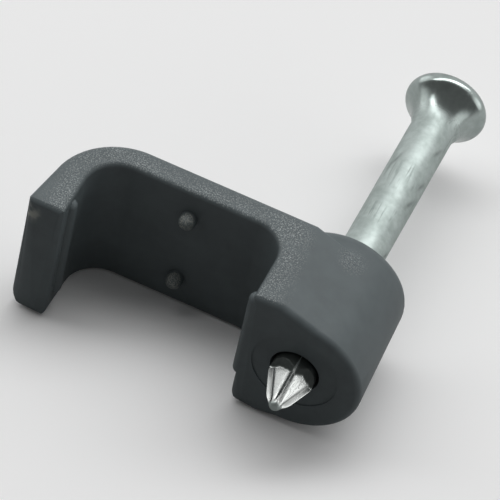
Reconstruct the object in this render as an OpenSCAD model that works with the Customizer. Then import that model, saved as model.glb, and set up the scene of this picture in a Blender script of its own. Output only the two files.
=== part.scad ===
// Nail-in cable clip for flat twin cable: a moulded saddle with a round nail boss, and its nail.
// X runs across the channel, Y out of the wall and Z along the cable; the wall face lies on Y = 0.

/* [Saddle] */
// Width of the saddle along the cable
clip_w = 8.8; // [8.6:0.1:12]
// Clear width of the cable channel
channel_w = 10.95; // [8:0.05:16]
// Depth of the channel from the wall to the inside of the back
channel_d = 4.8; // [4.2:0.1:7]
// Thickness of the back
back_t = 1.5; // [1.2:0.05:1.8]
// Inner radius of the hook's bend
hook_r = 2; // [1.4:0.1:2.6]
// Outer radius of the hook's bend
bend_r = 4; // [3.2:0.1:4.2]
// Thickness of the leg at its foot
foot_t = 2.15; // [1.8:0.05:2.4]
// Lean of the leg's outer side, in degrees
leg_lean = 10; // [6:1:12]
// Rounding of the foot's end
foot_r = 0.4; // [0.2:0.05:0.6]
// Softened edges along both sides of the channel
edge_r = 0.3; // [0.15:0.05:0.4]
// Softened edges along both sides of the hook's and back's outside
outer_r = 0.35; // [0.2:0.05:0.6]

/* [Boss] */
// Distance from the nail's axis to the boss's channel side
boss_face = 3.1; // [2.9:0.1:4]
// Radius of the boss's nose at the wall
nose_r = 3.95; // [3.7:0.05:4.1]
// How far the nose's middle lies from the nail's axis, toward the channel
nose_set = 0.15; // [0:0.05:0.2]
// How far the nose's middle lies below the middle of the width
nose_drop = 0.25; // [0.05:0.05:0.25]
// Draft of the nose on each side, in degrees
nose_draft = 2.5; // [0.5:0.5:3]
// How far the boss rises above the outside of the back
boss_rise = 1.4; // [1.1:0.1:4]
// Rounding of the boss's outer rim
rim_r = 0.9; // [0.4:0.1:1.1]
// Distance from the nail's axis to the end of the boss's flat sides
flat_end = 1.3; // [0.8:0.1:1.8]
// Rounding of the boss's edge at the wall
wall_r = 0.4; // [0.2:0.05:0.6]
// Fillet between the boss and the back
boss_fillet = 1.75; // [1:0.05:2.2]
// Diameter of the shallow recess round the nail hole
mark_d = 4.9; // [3.8:0.1:5.4]
// Depth of the shallow recess
mark_depth = 0.06; // [0.03:0.01:0.12]

/* [Grip] */
// How far the retaining lips stand into the channel
lip_h = 0.3; // [0.2:0.05:0.4]
// Radius of the lips' bead
lip_r = 0.42; // [0.41:0.01:0.5]
// Distance from the wall to the boss's lip
lip_gap = 0.05; // [0.03:0.01:0.3]
// Length of the boss's lip
lip_l = 6.4; // [4:0.1:7]
// Height of the leg's lip above the wall
catch_y = 1.25; // [1:0.05:1.6]
// Length of the leg's lip
catch_l = 7.4; // [4:0.1:7.8]
// Diameter of the two pips that press on the cable
pip_d = 0.95; // [0.7:0.05:1.4]
// Height of the pips above the inside of the back
pip_h = 0.78; // [0.72:0.01:1]
// Distance between the pips along the cable
pip_gap = 4.9; // [3:0.1:6]

/* [Nail] */
// Diameter of the nail's shank
nail_d = 2.5; // [2:0.05:2.9]
// Length of the nail over all
nail_l = 25; // [22:0.5:32]
// How far the point stands out of the wall face as supplied
point_out = 2.9; // [2.6:0.1:3.4]
// Diameter of the head
head_d = 4.7; // [4.2:0.1:5.6]
// Thickness of the head's rounded rim
head_rim = 0.72; // [0.5:0.02:0.9]
// Slope of the flare under the head, in degrees
flare_angle = 29; // [24:1:36]
// Fillet between the shank and the flare
flare_fillet = 1.5; // [0.8:0.1:2.5]
// Length of the point's four facets
facet_l = 1.7; // [1.4:0.1:2]
// Width across the point's blunt end
point_flat = 0.56; // [0.4:0.02:0.8]
// Slope of the facets to the nail's axis, in degrees
facet_angle = 18; // [15:0.5:20]
// Slope of the shoulders above the facets, in degrees
shoulder_angle = 45; // [40:1:55]
// Clearance between shank and hole, all round
nail_clear = 0.05; // [0.03:0.01:0.09]
// Extra radius of the hole's mouth at the wall
mouth_extra = 0.12; // [0.05:0.01:0.2]
// Depth of the hole's flared mouth
mouth_h = 0.6; // [0.3:0.1:1]

/* [Hidden] */
$fn = 72;

// how far cutting shapes run past what they cut
over = 0.5;
half_w = clip_w / 2;
back_y = channel_d + back_t;
boss_h = back_y + boss_rise;
face_x = -boss_face;
leg_x = face_x - channel_w;
foot_x = leg_x - foot_t;
bend = [leg_x + hook_r, channel_d - hook_r];
fillet = [face_x - boss_fillet, channel_d - boss_fillet];
// how far a rounding's circle sits toward its corner, so that it crosses both faces
blend = 0.006;
// how far a straight edge's rounding runs on into the bend, whose own stops short by an angle in degrees
lap = 0.3;
short_turn = 1.5;
// where the leg's outer side and the back's outside would meet, and the bend's rounding there
knee = [foot_x + back_y * tan(leg_lean), back_y];
knee_half = (90 + leg_lean) / 2;
shell = knee + (bend_r / sin(knee_half) - blend) * [cos(knee_half), -sin(knee_half)];
leg_down = [-sin(leg_lean), -cos(leg_lean)];
leg_start = bend_r / tan(knee_half) - lap;
// the flanks run from the end of the flat sides to the nose, a hair inside its tangent
flank_in = 0.04;
flank_r = nose_r - flank_in;
flank_x = nose_set - flat_end;
function flank_turn(z) = atan2(z, flank_x) - acos(flank_r / norm([flank_x, z]));
block_end = (flank_r - boss_h * tan(nose_draft)) * cos(flank_turn(half_w)) - nose_set;
shank_r = nail_d / 2;
hole_r = shank_r + nail_clear;
head_y = nail_l - point_out;
rim = [(head_d - head_rim) / 2, head_y - head_rim / 2];
// the flare's side passes a hair inside the rim's rounding
flare_top = rim + (head_rim / 2 - blend) * [cos(flare_angle), -sin(flare_angle)];
flare_y = flare_top[1] - (flare_top[0] - shank_r) / tan(flare_angle);
flare_soft = flare_fillet * tan(flare_angle / 2);

// Waste outside a rounded corner at p, with the material in direction a and half its angle to either side
module corner_waste(p, a, half, r) {
    translate(p)
        rotate(a)
            difference() {
                translate([-over, -r - over])
                    square([over + r / sin(half) - r * sin(half), 2 * (r + over)]);
                translate([r / sin(half) - blend, 0])
                    circle(r);
            }
}

// Waste outside a square corner, with the corner at the origin and the material up and to the right
module cove(r) {
    difference() {
        translate([-over, -over])
            square(r + over);
        translate([r, r])
            circle(r);
    }
}

// Waste along a straight edge of the upper side, from p in direction a, with the material on the left
module straight_edge(p, a, l, r) {
    translate([p[0], p[1], half_w])
        rotate([0, 0, a])
            rotate([0, 90, 0])
                linear_extrude(height = l)
                    cove(r);
}

// Waste along a curved edge of the upper side, with the material toward the centre c
module outer_edge(c, radius, a, turn, r) {
    translate([c[0], c[1], half_w])
        rotate([0, 0, a])
            rotate_extrude(angle = turn)
                translate([radius, 0])
                    rotate(180)
                        cove(r);
}

// Waste along a curved edge of the upper side, with the material away from the centre c
module inner_edge(c, radius, a, turn, r) {
    translate([c[0], c[1], half_w])
        rotate([0, 0, a])
            rotate_extrude(angle = turn)
                translate([radius, 0])
                    rotate(-90)
                        cove(r);
}

// The cable's space, open at the wall
module channel_profile() {
    translate([bend[0], -over])
        square([fillet[0] - bend[0], channel_d + over]);
    translate([leg_x, -over])
        square([hook_r + over, bend[1] + over]);
    translate([fillet[0] - over, -over])
        square([boss_fillet + over, fillet[1] + over]);
    translate(bend)
        circle(hook_r);
    translate(fillet)
        circle(boss_fillet);
}

// Hook, back and boss block seen along the cable, before the channel is cut
module saddle_profile() {
    difference() {
        polygon([[foot_x, 0], knee, [block_end, back_y], [block_end, 0]]);
        corner_waste(knee, -knee_half, knee_half, bend_r);
    }
}

// Channel and the rounded edges at its mouth
module channel_waste() {
    channel_profile();
    // outer toe of the foot
    corner_waste([foot_x, 0], (90 - leg_lean) / 2, (90 - leg_lean) / 2, foot_r);
    // inner toe of the foot
    corner_waste([leg_x, 0], 135, 45, foot_r);
    // channel edge of the boss
    corner_waste([face_x, 0], 45, 45, edge_r);
}

// All rounded edges of the upper side
module side_waste() {
    straight_edge([nose_r, back_y], 180, nose_r - shell[0] + lap, outer_r);
    outer_edge(shell, bend_r, 90 + short_turn, 90 - leg_lean - 2 * short_turn, outer_r);
    straight_edge(knee + leg_start * leg_down, 270 - leg_lean, back_y / cos(leg_lean) - leg_start + over, outer_r);
    straight_edge([leg_x, -over], 90, bend[1] + over, edge_r);
    inner_edge(bend, hook_r, 90, 90, edge_r);
    straight_edge([bend[0], channel_d], 0, fillet[0] - bend[0], edge_r);
    inner_edge(fillet, boss_fillet, 0, 90, edge_r);
    straight_edge([face_x, fillet[1]], 270, fillet[1] + over, edge_r);
    straight_edge([foot_x - over, 0], 0, foot_t + 2 * over, foot_r);
    straight_edge([face_x - over, 0], 0, block_end - face_x + 2 * over, wall_r);
}

// Waste at the lower and upper corners of the boss's drafted side, which leans in from u at the wall
module drafted_corners(u, h, r1, r2) {
    corner_waste([u, 0], 135 + nose_draft / 2, 45 - nose_draft / 2, r1);
    corner_waste([u - h * tan(nose_draft), h], 225 + nose_draft / 2, 45 + nose_draft / 2, r2);
}

// Round post of the boss, seen from the side
module post_profile() {
    difference() {
        polygon([[0, 0], [nose_r, 0], [nose_r - boss_h * tan(nose_draft), boss_h], [0, boss_h]]);
        drafted_corners(nose_r, boss_h, wall_r, rim_r);
    }
}

// Waste outside one flank of the boss, for a flat side at a height of z above the nose's middle
module flank_waste(z) {
    rotate([0, -flank_turn(z), 0])
        linear_extrude(height = 4 * clip_w, center = true) {
            polygon([
                [flank_r + over * tan(nose_draft), -over],
                [2 * clip_w, -over],
                [2 * clip_w, back_y + over],
                [flank_r - (back_y + over) * tan(nose_draft), back_y + over]
            ]);
            drafted_corners(flank_r, back_y, wall_r + 2 * flank_in, outer_r);
        }
}

// Bead with domed ends along one wall of the channel, l long, on an axis at x and y
module lip(x, y, l) {
    body_l = l - 2 * lip_r;
    translate([x, y, half_w - edge_r - lip_r - body_l]) {
        cylinder(r = lip_r, h = body_l);
        sphere(lip_r);
        translate([0, 0, body_l])
            sphere(lip_r);
    }
}

// Domed pip on the inside of the back
module pip() {
    stem = pip_h - pip_d / 2;
    translate([(leg_x + face_x) / 2, channel_d - stem, pip_gap / 2])
        rotate([-90, 0, 0]) {
            cylinder(d = pip_d, h = stem + back_t / 2);
            sphere(d = pip_d);
        }
}

module clip_body() {
    color("dimgray") {
        difference() {
            union() {
                difference() {
                    linear_extrude(height = clip_w, center = true)
                        saddle_profile();
                    translate([-nose_set, 0, -nose_drop]) {
                        flank_waste(half_w + nose_drop);
                        mirror([0, 0, 1])
                            flank_waste(half_w - nose_drop);
                    }
                }
                translate([-nose_set, 0, -nose_drop])
                    rotate([-90, 0, 0])
                        rotate_extrude()
                            post_profile();
            }
            linear_extrude(height = clip_w + 2 * over, center = true)
                channel_waste();
            for (s = [0, 1])
                mirror([0, 0, s])
                    side_waste();
            rotate([-90, 0, 0]) {
                translate([0, 0, -over])
                    cylinder(r = hole_r, h = boss_h + 2 * over);
                cylinder(r1 = hole_r + mouth_extra, r2 = hole_r, h = mouth_h);
                translate([0, 0, -over])
                    cylinder(d = mark_d, h = over + mark_depth);
            }
        }
        lip(leg_x - lip_r + lip_h, catch_y, catch_l);
        lip(face_x + lip_r - lip_h, lip_gap + lip_r, lip_l);
        for (s = [0, 1])
            mirror([0, 0, s])
                pip();
    }
}

// Shank, flare and head seen from the side, before the point is cut
module nail_profile() {
    translate([0, -point_out])
        square([shank_r, rim[1] + point_out]);
    polygon([[0, flare_y], [shank_r, flare_y], flare_top, rim, [0, rim[1]]]);
    difference() {
        polygon([
            [0, flare_y - flare_soft],
            [shank_r, flare_y - flare_soft],
            [shank_r + flare_soft * sin(flare_angle), flare_y + flare_soft * cos(flare_angle)],
            [0, flare_y + flare_soft * cos(flare_angle)]
        ]);
        translate([shank_r + flare_fillet, flare_y - flare_soft] + blend * [-cos(flare_angle / 2), sin(flare_angle / 2)])
            circle(flare_fillet);
    }
    translate([0, rim[1]])
        square([rim[0], head_rim / 2]);
    translate(rim)
        circle(head_rim / 2);
}

// Waste outside one facet of the point and the shoulder above it
module facet_waste() {
    top = facet_l - point_out;
    reach = point_flat / 2 + facet_l * tan(facet_angle);
    linear_extrude(height = 2 * nail_d, center = true)
        polygon([
            [point_flat / 2, -point_out - over],
            [point_flat / 2, -point_out],
            [reach, top],
            [nail_d, top + (nail_d - reach) / tan(shoulder_angle)],
            [2 * nail_d, top],
            [2 * nail_d, -point_out - over]
        ]);
}

module nail() {
    color("silver")
        difference() {
            rotate([-90, 0, 0])
                rotate_extrude()
                    nail_profile();
            for (a = [45 : 90 : 315])
                rotate([0, a, 0])
                    facet_waste();
        }
}

clip_body();
nail();
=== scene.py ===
import math

import bpy
import numpy as np
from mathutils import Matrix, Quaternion, Vector


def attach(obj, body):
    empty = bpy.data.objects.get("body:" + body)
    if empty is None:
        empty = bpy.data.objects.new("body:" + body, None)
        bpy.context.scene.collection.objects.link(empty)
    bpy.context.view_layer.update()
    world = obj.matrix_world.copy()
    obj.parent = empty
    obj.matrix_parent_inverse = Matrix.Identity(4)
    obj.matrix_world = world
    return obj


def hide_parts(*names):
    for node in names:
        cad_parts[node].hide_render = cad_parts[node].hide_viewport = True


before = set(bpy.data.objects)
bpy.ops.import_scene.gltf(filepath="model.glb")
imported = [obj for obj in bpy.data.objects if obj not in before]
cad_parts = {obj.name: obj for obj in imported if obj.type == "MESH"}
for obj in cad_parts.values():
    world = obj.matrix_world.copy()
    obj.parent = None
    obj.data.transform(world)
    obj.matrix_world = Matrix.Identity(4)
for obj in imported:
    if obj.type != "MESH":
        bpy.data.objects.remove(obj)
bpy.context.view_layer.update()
mm = 0.001
fullTurn = 2.0 * np.pi
print("frame loaded:", ", ".join(sorted(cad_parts)))


# camera: a long lens over the wall side of the clip, rolled a little to the right
viewpoint = {
    "place": (39.967, -188.360, 229.616),  # mm
    "turn": (0.911263, 0.350754, -0.001395, 0.215801),  # w, x, y, z
    "lens": 410.17,
    "sensor": 36.0,
    "near": 0.01,  # m
    "far": 20.0,
}
cameraData = bpy.data.cameras.new("studioCamera")
cameraData.lens = viewpoint["lens"]
cameraData.sensor_width = viewpoint["sensor"]
cameraData.clip_start, cameraData.clip_end = viewpoint["near"], viewpoint["far"]
camera = bpy.data.objects.new("studioCamera", cameraData)
camera.rotation_mode = "QUATERNION"
camera.location = Vector(viewpoint["place"]) * mm
camera.rotation_quaternion = Quaternion(viewpoint["turn"])
bpy.context.scene.collection.objects.link(camera)
bpy.context.scene.camera = camera
bpy.context.scene.view_settings.view_transform = "Standard"
print("camera placed")


# surfaces

def newMesh(name, points, faces, sharpAngle):
    # points in metres, faces as rows of corner numbers; edges over sharpAngle degrees stay crisp
    mesh = bpy.data.meshes.new(name)
    mesh.from_pydata(points.tolist(), [], faces.tolist())
    mesh.validate()
    mesh.shade_smooth()
    mesh.set_sharp_from_angle(angle=math.radians(sharpAngle))
    piece = bpy.data.objects.new(name, mesh)
    bpy.context.scene.collection.objects.link(piece)
    return piece


def ringFaces(rings, around):
    # two triangles between neighbours on neighbouring rings, with the points numbered ring by ring
    i = np.arange(rings - 1)[:, None] * around
    j = np.arange(around)[None, :]
    k = (j + 1) % around
    p00, p01, p10, p11 = (q.ravel() for q in (i + j, i + k, i + around + j, i + around + k))
    return np.concatenate([np.stack([p00, p10, p01], 1), np.stack([p01, p10, p11], 1)])


def fanFaces(middle, start, around):
    # triangles from one middle point to the ring of points whose numbers begin at start
    j = np.arange(around)
    return np.stack([np.full(around, middle), start + j, start + (j + 1) % around], 1)


def smoothStep(low, high, x):
    # 0 below low, 1 above high, and 3t^2 - 2t^3 between
    t = np.clip((x - low) / (high - low), 0.0, 1.0)
    return t * t * (3.0 - 2.0 * t)


def wrapAngle(angle, step=fullTurn):
    # the angle less whole steps, from half a step below zero to half a step above
    return (angle + step / 2) % step - step / 2


# materials

def link(tree, source, target):
    tree.links.new(source, target)


def setInput(tree, socket, value):
    # joins the socket to another one or sets its constant
    if isinstance(value, bpy.types.NodeSocket):
        link(tree, value, socket)
    else:
        socket.default_value = value


def addNode(tree, kind, inputs=None, **values):
    # a node with its properties set by name and its inputs by name or number
    node = tree.nodes.new(kind)
    for key, value in values.items():
        setattr(node, key, value)
    for key, value in (inputs or {}).items():
        setInput(tree, node.inputs[key], value)
    return node


def mathNode(tree, operation, a, b=0.0):
    return addNode(tree, "ShaderNodeMath", operation=operation, inputs={0: a, 1: b}).outputs[0]


def times(tree, a, b):
    return mathNode(tree, "MULTIPLY", a, b)


def plus(tree, a, b):
    return mathNode(tree, "ADD", a, b)


def minus(tree, a, b):
    return mathNode(tree, "SUBTRACT", a, b)


def larger(tree, a, b):
    return mathNode(tree, "MAXIMUM", a, b)


def ramp(tree, value, low, high, toLow=0.0, toHigh=1.0):
    # value from low..high onto toLow..toHigh with soft ends
    limits = {0: value, 1: low, 2: high, 3: toLow, 4: toHigh}
    return addNode(tree, "ShaderNodeMapRange", limits, interpolation_type="SMOOTHSTEP").outputs[0]


def fadeOut(tree, distance, near, far, strength):
    # strength up to near, nothing past far, both in mm
    return ramp(tree, distance, near * mm, far * mm, strength, 0.0)


def noise(tree, vector, scale, detail, rough):
    inputs = {"Vector": vector, "Scale": scale, "Detail": detail, "Roughness": rough}
    return addNode(tree, "ShaderNodeTexNoise", inputs).outputs[0]


def mixValue(tree, amount, a, b):
    return addNode(tree, "ShaderNodeMix", {0: amount, 2: a, 3: b}, data_type="FLOAT").outputs[0]


def mixColour(tree, amount, a, b):
    node = addNode(tree, "ShaderNodeMix", data_type="RGBA", inputs={0: amount})
    for socket, value in ((node.inputs[6], a), (node.inputs[7], b)):
        setInput(tree, socket, (*value, 1.0) if isinstance(value, tuple) else value)
    return node.outputs[2]


def attribute(tree, name):
    return addNode(tree, "ShaderNodeAttribute", attribute_name=name).outputs["Fac"]


def addBump(tree, shader, rise, strength, distance):
    # distance in mm
    inputs = {"Strength": strength, "Distance": distance * mm, "Height": rise}
    link(tree, addNode(tree, "ShaderNodeBump", inputs).outputs[0], shader.inputs["Normal"])


def newGroup(name, inputs):
    # a node group with these inputs, by name and kind, and one output, Mask
    group = bpy.data.node_groups.new(name, "ShaderNodeTree")
    for socketName, kind in inputs.items():
        group.interface.new_socket(socketName, in_out="INPUT", socket_type=kind)
    group.interface.new_socket("Mask", in_out="OUTPUT", socket_type="NodeSocketFloat")
    return group, group.nodes.new("NodeGroupInput"), group.nodes.new("NodeGroupOutput")


def useGroup(tree, group, **inputs):
    return addNode(tree, "ShaderNodeGroup", inputs, node_tree=group).outputs["Mask"]


mottling = {
    "broad": (3.0, 0.55),  # detail and roughness of the two noises
    "fine": (2.0, 0.6),
    "finer": 4.3,  # scale of the second over that of the first
    "shares": (0.65, 0.35),
    "limits": (0.3, 0.7),
}


def makeMottleGroup():
    # slow cloudy change of shade, from two sizes of noise, with 0.5 as its middle
    group, entry, leave = newGroup(
        "surfaceMottle", {"Vector": "NodeSocketVector", "Scale": "NodeSocketFloat"})
    place, scale = entry.outputs["Vector"], entry.outputs["Scale"]
    broad = noise(group, place, scale, *mottling["broad"])
    fine = noise(group, place, times(group, scale, mottling["finer"]), *mottling["fine"])
    broadShare, fineShare = mottling["shares"]
    both = plus(group, times(group, broad, broadShare), times(group, fine, fineShare))
    link(group, ramp(group, both, *mottling["limits"]), leave.inputs["Mask"])
    return group


hairline = {
    "lines": (1.0, 3.0, 0.6),  # scale, detail and roughness of the drawn-out noise
    "middle": 0.5,  # its level along a line
    "width": 0.035,
    "breaks": (420.0, 2.0, 0.5),  # the noise that breaks the lines
    "breakLimits": (0.5, 0.66),
}


def makeScratchGroup():
    # hair lines along Y: noise drawn out by the mapping, cut to its thin crest and broken by a slow
    # noise
    group, entry, leave = newGroup("hairScratches", {
        "Vector": "NodeSocketVector", "Across": "NodeSocketFloat", "Along": "NodeSocketFloat"})
    place, across, along = (entry.outputs[name] for name in ("Vector", "Across", "Along"))
    stretch = addNode(group, "ShaderNodeCombineXYZ", {0: across, 1: along, 2: across}).outputs[0]
    drawn = addNode(group, "ShaderNodeVectorMath", {0: place, 1: stretch}, operation="MULTIPLY")
    lines = noise(group, drawn.outputs[0], *hairline["lines"])
    crest = mathNode(group, "ABSOLUTE", minus(group, lines, hairline["middle"]))
    thin = ramp(group, crest, 0.0, hairline["width"], 1.0, 0.0)
    broken = ramp(group, noise(group, place, *hairline["breaks"]), *hairline["breakLimits"])
    link(group, times(group, thin, broken), leave.inputs["Mask"])
    return group


mottleGroup = makeMottleGroup()
scratchGroup = makeScratchGroup()


def newMaterial(name):
    material = bpy.data.materials.new(name)
    material.use_nodes = True
    tree = material.node_tree
    tree.nodes.clear()
    shader = tree.nodes.new("ShaderNodeBsdfPrincipled")
    leave = tree.nodes.new("ShaderNodeOutputMaterial")
    link(tree, shader.outputs[0], leave.inputs[0])
    place = tree.nodes.new("ShaderNodeTexCoord").outputs["Object"]
    return material, tree, shader, place


# noises are scale in cells per metre, detail and roughness; fades are near and far in mm and strength
plastic = {
    "dark": (0.095, 0.114, 0.119),
    "light": (0.118, 0.141, 0.147),
    # a painted glint for the grain's crests and painted shade for its pits
    "paintedGlint": (0.40, 0.43, 0.43),
    "paintedPitShade": (0.065, 0.077, 0.080),
    "scuff": (0.36, 0.37, 0.335),
    "mottle": 260.0,
    "grain": (13000.0, 2.0, 0.7),
    "peel": (1500.0, 2.0, 0.5),
    "patches": (420.0, 2.0, 0.5),
    "patchLimits": (0.34, 0.6, 0.45, 1.0),
    # where along the grain the painted glints and the painted pit shade come in
    "glintLimits": (0.48, 0.70),
    "pitShadeLimits": (0.30, 0.48, 0.7, 0.0),
    "sideZ": 4.4,  # mm, the flat sides that carry the grain
    "sideFade": (0.16, 0.01),  # mm under them where it begins and where it is full
    "channel": (-8.575, 5.475, 4.8),  # mm, the channel's middle, half width and depth
    "edgeFade": (0.55, 1.8),  # mm from the channel's edge
    "edgeLeft": 0.1,  # share of the grain left far from the edge
    "nose": (0.55, 5.7, 4.0),  # mm, a rougher spot on the boss
    "noseFade": (0.4, 1.3, 0.75),
    "pipY": 4.3,  # mm, the pips' height over the wall
    "pipFade": (0.3, 0.48, 0.75),
    "pipGrain": (0.38, 0.66),
    "toe": (-16.05, 0.1, 3.4),  # mm, the rubbed corner of the foot
    "toeFade": (0.35, 1.0, 0.9),
    "toePeel": (0.36, 0.6),
    "roughness": (0.44, 0.08, 0.04),  # at least, more with the mottle, more with the grain
    "specular": 0.35,
    "peelRise": 0.12,  # the peel's height as a share of the grain's
    "bump": (0.8, 0.03),  # strength and distance
}


def distanceTo(tree, place, spot):
    spot = tuple(c * mm for c in spot)
    node = addNode(tree, "ShaderNodeVectorMath", {0: place, 1: spot}, operation="DISTANCE")
    return node.outputs["Value"]


def flatLength(tree, a, b):
    # length of the vector (a, b, 0)
    flat = addNode(tree, "ShaderNodeCombineXYZ", {0: a, 1: b}).outputs[0]
    node = addNode(tree, "ShaderNodeVectorMath", {0: flat}, operation="LENGTH")
    return node.outputs["Value"]


def grainArea(tree, place, axes):
    # flat sides, strongest along the channel's edge and fading away from it in patches, plus a spot
    # on the boss
    middle, half, deep = (c * mm for c in plastic["channel"])
    across = mathNode(tree, "ABSOLUTE", minus(tree, axes.outputs[0], middle))
    pastSide = larger(tree, minus(tree, across, half), 0.0)
    pastBack = larger(tree, minus(tree, axes.outputs[1], deep), 0.0)
    near, far = (c * mm for c in plastic["edgeFade"])
    inner = ramp(tree, flatLength(tree, pastSide, pastBack), near, far, 1.0, plastic["edgeLeft"])
    height = mathNode(tree, "ABSOLUTE", axes.outputs[2])
    side = ramp(tree, height, *((plastic["sideZ"] - under) * mm for under in plastic["sideFade"]))
    patch = ramp(tree, noise(tree, place, *plastic["patches"]), *plastic["patchLimits"])
    flats = times(tree, times(tree, side, inner), patch)
    spot = fadeOut(tree, distanceTo(tree, place, plastic["nose"]), *plastic["noseFade"])
    return larger(tree, flats, times(tree, spot, patch))


def makePlastic():
    # moulded polymer: spark-eroded grain on the flat sides, smooth with a faint orange peel elsewhere
    material, tree, shader, place = newMaterial("greyPlastic")
    axes = addNode(tree, "ShaderNodeSeparateXYZ", {0: place})
    rough = grainArea(tree, place, axes)
    grain = noise(tree, place, *plastic["grain"])
    peel = noise(tree, place, *plastic["peel"])
    mottle = useGroup(tree, mottleGroup, Vector=place, Scale=plastic["mottle"])
    colour = mixColour(tree, mottle, plastic["dark"], plastic["light"])
    # painted glints on the grain's crests and painted shade in its pits
    paintedGlint = times(tree, ramp(tree, grain, *plastic["glintLimits"]), rough)
    colour = mixColour(tree, paintedGlint, colour, plastic["paintedGlint"])
    paintedPitShade = times(tree, ramp(tree, grain, *plastic["pitShadeLimits"]), rough)
    colour = mixColour(tree, paintedPitShade, colour, plastic["paintedPitShade"])
    # worn pips and the rubbed toe
    fromPips = flatLength(tree, minus(tree, axes.outputs[0], plastic["channel"][0] * mm),
                          minus(tree, axes.outputs[1], plastic["pipY"] * mm))
    worn = times(tree, fadeOut(tree, fromPips, *plastic["pipFade"]),
                 ramp(tree, grain, *plastic["pipGrain"]))
    fromToe = distanceTo(tree, place, plastic["toe"])
    rubbed = times(tree, fadeOut(tree, fromToe, *plastic["toeFade"]),
                   ramp(tree, peel, *plastic["toePeel"]))
    colour = mixColour(tree, larger(tree, worn, rubbed), colour, plastic["scuff"])
    link(tree, colour, shader.inputs["Base Color"])
    least, withMottle, withGrain = plastic["roughness"]
    more = plus(tree, times(tree, mottle, withMottle), times(tree, rough, withGrain))
    link(tree, plus(tree, more, least), shader.inputs["Roughness"])
    shader.inputs["Specular IOR Level"].default_value = plastic["specular"]
    rise = plus(tree, times(tree, grain, rough), times(tree, peel, plastic["peelRise"]))
    addBump(tree, shader, rise, *plastic["bump"])
    return material


steel = {
    "bright": (0.56, 0.63, 0.61),
    "dull": (0.41, 0.47, 0.45),
    "scratch": (0.28, 0.325, 0.31),
    "polish": (0.93, 0.96, 0.94),
    # dark colour for the scuffs and for the painted shade above the facets and beside the flash
    "shadeAndScuffs": (0.045, 0.05, 0.048),
    "mottle": 700.0,
    "scratchAcross": 2600.0,  # cells in a metre
    "scratchAlong": 140.0,
    "scratchShade": 0.55,
    "shankRough": 0.56,  # roughness of the shank, the pressed facets and the head
    "facetRough": 0.25,
    "headRough": 0.20,
    "roughChange": (-0.12, 0.15),  # of the shank's, with the mottle and in the scratches
    "peel": (2400.0, 3.0, 0.55),
    "peelRise": 0.6,  # the peel's height as a share of the scratches' depth
    "bump": (0.5, 0.012),
}


def makeSteel():
    # zinc plating: cloudy brightness, soft hair scratches along the shank and a fine orange peel;
    # the nail's attributes say where it is polished, where scuffs and painted shade darken it, and where
    # it is glossy
    material, tree, shader, place = newMaterial("zincSteel")
    mottle = useGroup(tree, mottleGroup, Vector=place, Scale=steel["mottle"])
    scratch = useGroup(tree, scratchGroup, Vector=place,
                       Across=steel["scratchAcross"], Along=steel["scratchAlong"])
    polish, shadeAndScuffs, gloss = (attribute(tree, name) for name in ("polish", "shadeAndScuffs", "gloss"))
    colour = mixColour(tree, mottle, steel["dull"], steel["bright"])
    colour = mixColour(tree, times(tree, scratch, steel["scratchShade"]), colour, steel["scratch"])
    colour = mixColour(tree, polish, colour, steel["polish"])
    # painted shade above the facets and painted shadow in the hollows beside the flash, with the dark
    # scuffs
    colour = mixColour(tree, shadeAndScuffs, colour, steel["shadeAndScuffs"])
    link(tree, colour, shader.inputs["Base Color"])
    shader.inputs["Metallic"].default_value = 1.0
    withMottle, withScratch = steel["roughChange"]
    change = plus(tree, times(tree, mottle, withMottle), times(tree, scratch, withScratch))
    rough = plus(tree, change, steel["shankRough"])
    rough = mixValue(tree, polish, rough, steel["facetRough"])
    rough = mixValue(tree, gloss, rough, steel["headRough"])
    link(tree, rough, shader.inputs["Roughness"])
    peel = noise(tree, place, *steel["peel"])
    addBump(tree, shader, minus(tree, times(tree, peel, steel["peelRise"]), scratch), *steel["bump"])
    return material


plasticMaterial = makePlastic()
steelMaterial = makeSteel()
print("materials made: greyPlastic, zincSteel")


# clip body: the moulded solid with its loose triangles joined, so that the roundings shade smoothly
clip = {
    "join": 1e-7,  # m, corners nearer than this are one
    "sharp": 32.0,  # degrees
    "weld": 0.06,  # mm, the same for the flats at the wall
    "flatY": 0.01,  # mm, points nearer than this to the wall belong to its flats
    "weight": 100,  # how much large faces lead the shading beside them
    "lowZ": -4.4,  # mm, the lower side
    "slack": 0.02,  # mm outside a corner's sides that still count as on them
    "least": 1e-6,  # mm, keeps the wear's factor finite
    # lower corners worn rounder at the wall: x at the wall, lean, side that is solid, moulded radius,
    # worn radius, reach, and the heights between which the wear fades
    "worn": (
        (-16.2, 0.1763, 1, 0.35, 1.25, 1.6, 1.0, 4.0),
        (-14.05, 0.0, -1, 0.3, 0.6, 0.95, 0.5, 2.0),
        (-3.1, 0.0, 1, 0.3, 0.95, 1.7, 0.6, 3.0),
    ),
}


def mergedSurface(node, join):
    # the node's corners on a fine lattice, each lattice point kept once, and the triangles renumbered
    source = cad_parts[node].data
    points = np.empty(3 * len(source.vertices), np.float32)
    source.vertices.foreach_get("co", points)
    points = points.reshape(-1, 3).astype(float)
    corners = np.empty(len(source.loops), np.int32)
    source.loops.foreach_get("vertex_index", corners)
    lattice = np.round(points / join).astype(np.int64)
    _, first, number = np.unique(lattice, axis=0, return_index=True, return_inverse=True)
    faces = number.reshape(-1)[corners].reshape(-1, 3)
    whole = (faces != np.roll(faces, 1, axis=1)).all(axis=1)
    return points[first], faces[whole]


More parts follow.
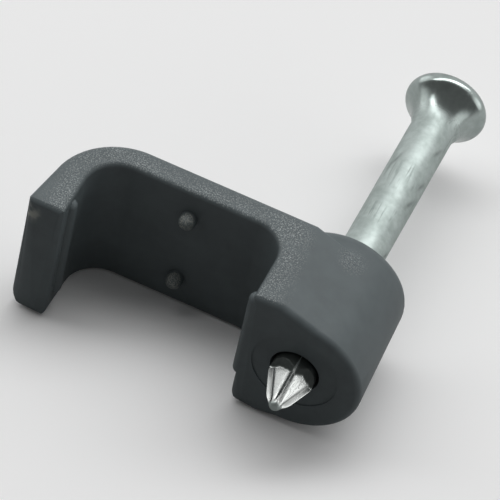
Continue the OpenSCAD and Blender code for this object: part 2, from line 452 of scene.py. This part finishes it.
def wearCorner(points, x0, lean, side, small, large, reach, fadeLow, fadeHigh):
    # a, b = distances in from the two sides of a corner that runs along Y, m = the larger of them; both
    # are scaled by one factor of m, which turns the rounding of radius small into one of radius large
    # and dies out at reach
    x, y, z = points.T / mm
    a = side * (x - x0 - lean * y)
    b = z - clip["lowZ"]
    m = np.maximum(np.maximum(a, b), clip["least"])
    wide = small + (large - small) * (1.0 - smoothStep(fadeLow, fadeHigh, y))
    outer = wide + (m - small) * (reach - wide) / (reach - small)
    moved = np.where(m < small, m * wide / small, outer)
    inside = (a > -clip["slack"]) & (b > -clip["slack"]) & (m < reach)
    grow = np.where(inside, moved / m - 1.0, 0.0)
    return points + np.stack([side * a * grow, np.zeros_like(a), b * grow], axis=1) * mm


def makeClip():
    points, faces = mergedSurface("clip_body", clip["join"])
    for corner in clip["worn"]:
        points = wearCorner(points, *corner)
    piece = newMesh("clipBody", points, faces, clip["sharp"])
    # corners of the flats at the wall that nearly coincide become one, so that no sliver is left
    flats = np.flatnonzero(np.abs(points[:, 1]) < clip["flatY"] * mm)
    piece.vertex_groups.new(name="wallFlats").add(flats.tolist(), 1.0, "REPLACE")
    weld = piece.modifiers.new("wallCorners", "WELD")
    weld.vertex_group = "wallFlats"
    weld.merge_threshold = clip["weld"] * mm
    weighted = piece.modifiers.new("flatSides", "WEIGHTED_NORMAL")
    weighted.keep_sharp = True
    weighted.weight = clip["weight"]
    piece.data.materials.append(plasticMaterial)
    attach(piece, "clip")
    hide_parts("clip_body")
    print("clipBody:", len(faces), "triangles")


makeClip()


# nail: one grid of rings along the axis and angles round it, in mm
nail = {
    "sharp": 24.0,  # degrees
    "shank": 1.25,  # radius
    "tip": -2.8,
    "facet": 2.3,  # length of the four facets
    "flat": 0.28,  # half the width of the blunt end
    "slope": 14.5,  # degrees
    "twist": 8.0,  # degrees that the point's corners are turned from +Z toward +X
    "nub": 0.16,  # length of the rounded end
    "nubTaper": 0.35,  # how much narrower it gets
    "squareFrom": (-0.1, 0.75),  # heights over the tip between which round turns square
    "flareFillet": 1.5,
    "flareLow": 18.0,  # degrees to the axis where the fillet ends
    "flareHigh": 45.0,  # and at the rim
    "rimX": 1.80,
    "rim": 0.55,
    "top": 22.1,
    "dish": 0.04,
    "fin": 0.07,  # thin flash along the point's corners
    "finWidth": 0.065,
    "finFrom": (0.1, 0.5),  # heights over the tip between which it rises
    "groove": 0.035,  # hollow on both sides of the flash
    "grooveAt": 2.4,  # its distance from the flash, in widths of the flash
    "jag": 0.09,  # ragged upper ends of the facets
    "jagWaves": ((3, 0.6, 1.0), (8, 2.1, 0.5), (19, 0.0, 0.25)),  # waves round, phase, strength
    "dip": 0.45,  # how much lower they end beside the upper ridge
    "dipWidth": 0.5,  # radians
    "roundAngles": 96,
    "besideCorners": (0.8, 1.6, 2.4, 3.5, 5.0, 7.0),  # degrees of the extra lines
    "pointEnd": -0.2,  # height where the shank's wider rings begin
    "rings": (80, 150, 9, 15, 24),  # along the point, shank, fillet, flare and rim
    "topRings": (0.99, 0.9, 0.74, 0.53, 0.32, 0.13),  # radii on the top as shares of rimX
    # dents: angle from +Z toward +X in degrees, height, depth, half width round and along
    "dents": (
        (55.0, 17.6, 0.030, 0.16, 0.30),
        (62.0, 14.9, 0.045, 0.14, 0.22),
        (58.0, 13.4, 0.030, 0.12, 0.35),
        (76.0, 9.6, 0.035, 0.12, 0.25),
        (-40.0, 15.8, 0.020, 0.20, 0.40),
        (190.0, 12.0, 0.030, 0.18, 0.30),
    ),
    "scuff": (0.11, 0.45, 0.4, 0.5),  # half width, half length, slant and strength in each dent
    # where the shades change: over the facets' tops, over the tip, and along the nail
    "pastTop": (-0.05, 0.07),
    "polishFrom": (0.1, 0.3),
    "hollowFrom": (0.05, 0.3),
    "pointFade": (0.0, 0.4),
    # heights between which the painted shade above the facets fades out into the hole
    "holeShadeFade": (0.0, 1.5),
    "glossFrom": (19.5, 20.3),
    # strength of the painted shade above the facets, and of the painted shadow beside the flash as a
    # share of it
    "shadeAndScuffs": 0.9,
    "grooveShade": 0.75,
}


def nailAngles():
    # even steps round the nail, with extra lines close beside the point's four corners
    even = np.linspace(0.0, fullTurn, nail["roundAngles"], endpoint=False)
    beside = np.radians(nail["besideCorners"])
    corners = np.radians(nail["twist"]) + np.arange(4)[:, None] * np.pi / 2
    close = (corners + np.concatenate([-beside, beside])[None, :]).ravel() % fullTurn
    return np.unique(np.round(np.concatenate([even, close]), 6))


def nailRings():
    # heights and radii of the turned profile from the point to the head, before the point is pinched
    # fillet = arc off the shank up to flareLow, flare = longer hollow arc on to flareHigh, tangent to
    # the rim's circle, rim = that circle, top = shallow dish
    low, high = math.radians(nail["flareLow"]), math.radians(nail["flareHigh"])
    fillet, rim = nail["flareFillet"], nail["rim"]
    rimY = nail["top"] - rim
    endR = nail["rimX"] + rim * math.cos(high)
    endY = rimY - rim * math.sin(high)
    startR = nail["shank"] + fillet * (1.0 - math.cos(low))
    hollow = (endR - startR) / (math.cos(low) - math.cos(high))
    startY = endY - hollow * (math.sin(high) - math.sin(low))
    filletY = startY - fillet * math.sin(low)
    alongPoint, alongShank, alongFillet, alongFlare, alongRim = nail["rings"]
    point = np.linspace(nail["tip"], nail["pointEnd"], alongPoint)
    shank = np.linspace(nail["pointEnd"], filletY, alongShank)[1:]
    bend = np.linspace(0.0, low, alongFillet)[1:]
    lean = np.linspace(low, high, alongFlare)[1:]
    turn = np.linspace(-high, np.pi / 2, alongRim)[1:]
    topR = nail["rimX"] * np.array(nail["topRings"])
    topY = nail["top"] - nail["dish"] * (1.0 - (topR / nail["rimX"]) ** 2)
    y = np.concatenate([
        point,
        shank,
        filletY + fillet * np.sin(bend),
        startY + hollow * (np.sin(lean) - math.sin(low)),
        rimY + rim * np.sin(turn),
        topY,
    ])
    r = np.concatenate([
        np.full(len(point) + len(shank), nail["shank"]),
        nail["shank"] + fillet * (1.0 - np.cos(bend)),
        startR + hollow * (math.cos(low) - np.cos(lean)),
        nail["rimX"] + rim * np.cos(turn),
        topR,
    ])
    return y, r


def dentShank(y, angle, r):
    # each dent takes depth * bell(distance round) * bell(distance along) off the radius, and each scuff
    # is a bell across a slanted line through its dent
    thin, long, slant, strength = nail["scuff"]
    scuff = np.zeros_like(r)
    for around, height, depth, halfRound, halfAlong in nail["dents"]:
        off = wrapAngle(angle - np.radians(around)) * nail["shank"]
        along = y - height
        r = r - depth * np.exp(-(off / halfRound) ** 2 - (along / halfAlong) ** 2)
        line = (off - slant * along) / thin
        scuff = np.maximum(scuff, strength * np.exp(-line ** 2 - (along / long) ** 2))
    return r, scuff


def nailSurface():
    # radius = the turned profile less the dents, and at most the square point's: distance / cos(angle to
    # the facet's middle), where distance = flat + slope * height up to the ragged tops of the facets and
    # then grows one to one; a bell-shaped ridge of flash with a hollow on both sides stands on each
    # corner, and the end is narrower and round
    heights, radii = nailRings()
    angles = nailAngles()
    y, angle = np.meshgrid(heights, angles, indexing="ij")
    r, scuff = dentShank(y, angle, np.repeat(radii[:, None], len(angles), axis=1))
    up = y - nail["tip"]
    fromRidge = angle - np.radians(nail["twist"])
    waves = sum(strength * np.sin(count * angle + phase) for count, phase, strength in nail["jagWaves"])
    ragged = nail["jag"] * waves / sum(strength for _, _, strength in nail["jagWaves"])
    dip = nail["dip"] * np.exp(-(wrapAngle(fromRidge) / nail["dipWidth"]) ** 2)
    facetTop = nail["facet"] + ragged - dip
    slope = math.tan(math.radians(nail["slope"]))
    reach = nail["flat"] + np.minimum(up, facetTop) * slope + np.maximum(up - facetTop, 0.0)
    reach = reach * (1.0 - nail["nubTaper"] * np.clip(1.0 - up / nail["nub"], 0.0, 1.0) ** 2)
    corner = np.abs(wrapAngle(fromRidge, np.pi / 2))  # angle to the nearest corner
    squared = smoothStep(*nail["squareFrom"], up)
    square = reach * (1.0 + squared * (1.0 / np.cos(np.pi / 4 - corner) - 1.0))
    beside = corner * square / nail["finWidth"]
    crest = np.exp(-beside ** 2)
    hollow = np.exp(-(beside - nail["grooveAt"]) ** 2)
    ridge = (nail["fin"] * crest - nail["groove"] * hollow) * smoothStep(*nail["finFrom"], up)
    r = np.minimum(r, square + ridge)
    # polish = the pressed facets and the flash's crest; shadeAndScuffs = painted shade above the facets,
    # fading into the hole, painted shadow in the hollows beside the flash, and the scuffs; gloss = the
    # head
    past = smoothStep(*nail["pastTop"], up - facetTop)
    pointed = 1.0 - smoothStep(*nail["pointFade"], y)
    polish = np.maximum(1.0 - past, crest) * pointed * smoothStep(*nail["polishFrom"], up)
    hollow = hollow * smoothStep(*nail["hollowFrom"], up) * pointed
    above = past * (1.0 - smoothStep(*nail["holeShadeFade"], y)) * (1.0 - crest)
    shadeAndScuffs = nail["shadeAndScuffs"] * np.maximum(above, nail["grooveShade"] * hollow)
    shadeAndScuffs = np.maximum(shadeAndScuffs, scuff)
    gloss = smoothStep(*nail["glossFrom"], y)
    # the last two points close the tip and the top
    shades = {
        "polish": np.append(polish, [0.0, 0.0]),
        "shadeAndScuffs": np.append(shadeAndScuffs, [0.0, 0.0]),
        "gloss": np.append(gloss, [0.0, 1.0]),
    }
    grid = np.stack([r * np.sin(angle), y, r * np.cos(angle)], axis=-1)
    ends = np.array([[0.0, nail["tip"], 0.0], [0.0, nail["top"] - nail["dish"], 0.0]])
    points = np.concatenate([grid.reshape(-1, 3), ends]) * mm
    n, m = grid.shape[:2]
    bottom = fanFaces(n * m, 0, m)
    top = fanFaces(n * m + 1, (n - 1) * m, m)[:, [0, 2, 1]]
    faces = np.concatenate([ringFaces(n, m), bottom, top])[:, ::-1]  # turned to face outward
    return points, faces, shades


def makeNail():
    points, faces, shades = nailSurface()
    piece = newMesh("drivenNail", points, faces, nail["sharp"])
    for name, shade in shades.items():
        piece.data.attributes.new(name, "FLOAT", "POINT").data.foreach_set("value", shade)
    piece.data.materials.append(steelMaterial)
    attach(piece, "nail")
    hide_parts("nail")
    print("drivenNail:", len(faces), "triangles")


makeNail()


# floor and light, in metres where nothing else is said
studio = {
    "floorZ": -4.42,  # mm, just under the clip's lower side
    "floorRadius": 1.6,
    "floorMiddle": 0.02,  # root of the first ring's share of the radius
    "floorRings": 24,
    "floorAngles": 48,
    "floorSharp": 30.0,  # degrees
    "paper": 0.95,  # shade of the floor as seen
    "paperRough": 0.9,
    "paperSpecular": 0.1,
    "bounceFront": 0.30,  # shade of the light that it throws back, before and behind the clip
    "bounceBack": 0.6,
    "bounceFade": (-6.0, 12.0),  # mm
    "boxPlace": (-0.10, 0.16, 0.47),
    "boxSize": (1.2, 0.17),
    "boxPower": 1.7,
    "skyFront": 0.11,
    "skyBack": 0.6,
    "skySides": 0.75,
    "skyTop": 1.3,
    "skySeen": 0.86,
    # parts of the direction to the sky between which each light comes in
    "backFrom": (-0.25, 0.5),
    "sidesFrom": (0.74, 0.95),
    "sidesBehind": (-0.45, -0.2),
    "topFrom": (0.78, 0.95),
    "topBehind": (0.02, 0.2),
}


def makeFloor():
    # flat disc: rings of points at radius = floorRadius * share squared, height constant
    share = np.linspace(studio["floorMiddle"], 1.0, studio["floorRings"])
    angles = np.linspace(0.0, fullTurn, studio["floorAngles"], endpoint=False)
    r, angle = np.meshgrid(studio["floorRadius"] * share ** 2, angles, indexing="ij")
    z = studio["floorZ"] * mm
    grid = np.stack([r * np.cos(angle), r * np.sin(angle), np.full_like(r, z)], axis=-1)
    points = np.concatenate([grid.reshape(-1, 3), [[0.0, 0.0, z]]])
    n, m = r.shape
    faces = np.concatenate([ringFaces(n, m), fanFaces(n * m, 0, m)])
    floor = newMesh("paperFloor", points, faces, studio["floorSharp"])
    material, tree, shader, place = newMaterial("palePaper")
    depth = addNode(tree, "ShaderNodeSeparateXYZ", {0: place}).outputs[1]
    near, far = (c * mm for c in studio["bounceFade"])
    bounce = ramp(tree, depth, near, far, studio["bounceFront"], studio["bounceBack"])
    seen = tree.nodes.new("ShaderNodeLightPath").outputs["Is Camera Ray"]
    link(tree, mixValue(tree, seen, bounce, studio["paper"]), shader.inputs["Base Color"])
    shader.inputs["Roughness"].default_value = studio["paperRough"]
    shader.inputs["Specular IOR Level"].default_value = studio["paperSpecular"]
    floor.data.materials.append(material)


def makeLight():
    # one long soft box over and behind the clip, turned to the origin
    lamp = bpy.data.lights.new("softBox", "AREA")
    lamp.shape = "RECTANGLE"
    lamp.size, lamp.size_y = studio["boxSize"]
    lamp.energy = studio["boxPower"]
    box = bpy.data.objects.new("softBox", lamp)
    box.location = studio["boxPlace"]
    box.rotation_mode = "QUATERNION"
    box.rotation_quaternion = (-Vector(studio["boxPlace"])).to_track_quat("-Z", "Y")
    bpy.context.scene.collection.objects.link(box)


def makeSky():
    # dim toward the wall side, brighter behind the clip, low on both sides and overhead; seen directly
    # it is plain and pale
    world = bpy.data.worlds.new("studioSky")
    world.use_nodes = True
    tree = world.node_tree
    tree.nodes.clear()
    direction = tree.nodes.new("ShaderNodeTexCoord").outputs["Generated"]
    x, y, z = addNode(tree, "ShaderNodeSeparateXYZ", {0: direction}).outputs
    back = ramp(tree, y, *studio["backFrom"], studio["skyFront"], studio["skyBack"])
    outward = mathNode(tree, "ABSOLUTE", x)
    sides = times(tree, ramp(tree, outward, *studio["sidesFrom"], 0.0, studio["skySides"]),
                  ramp(tree, y, *studio["sidesBehind"]))
    top = times(tree, ramp(tree, z, *studio["topFrom"], 0.0, studio["skyTop"]),
                ramp(tree, y, *studio["topBehind"]))
    shade = plus(tree, back, plus(tree, sides, top))
    seen = tree.nodes.new("ShaderNodeLightPath").outputs["Is Camera Ray"]
    level = mixValue(tree, seen, shade, studio["skySeen"])
    white = (1.0, 1.0, 1.0, 1.0)
    glow = addNode(tree, "ShaderNodeBackground", {"Color": white, "Strength": level})
    leave = tree.nodes.new("ShaderNodeOutputWorld")
    link(tree, glow.outputs[0], leave.inputs[0])
    bpy.context.scene.world = world


makeFloor()
makeLight()
makeSky()
print("studio set")
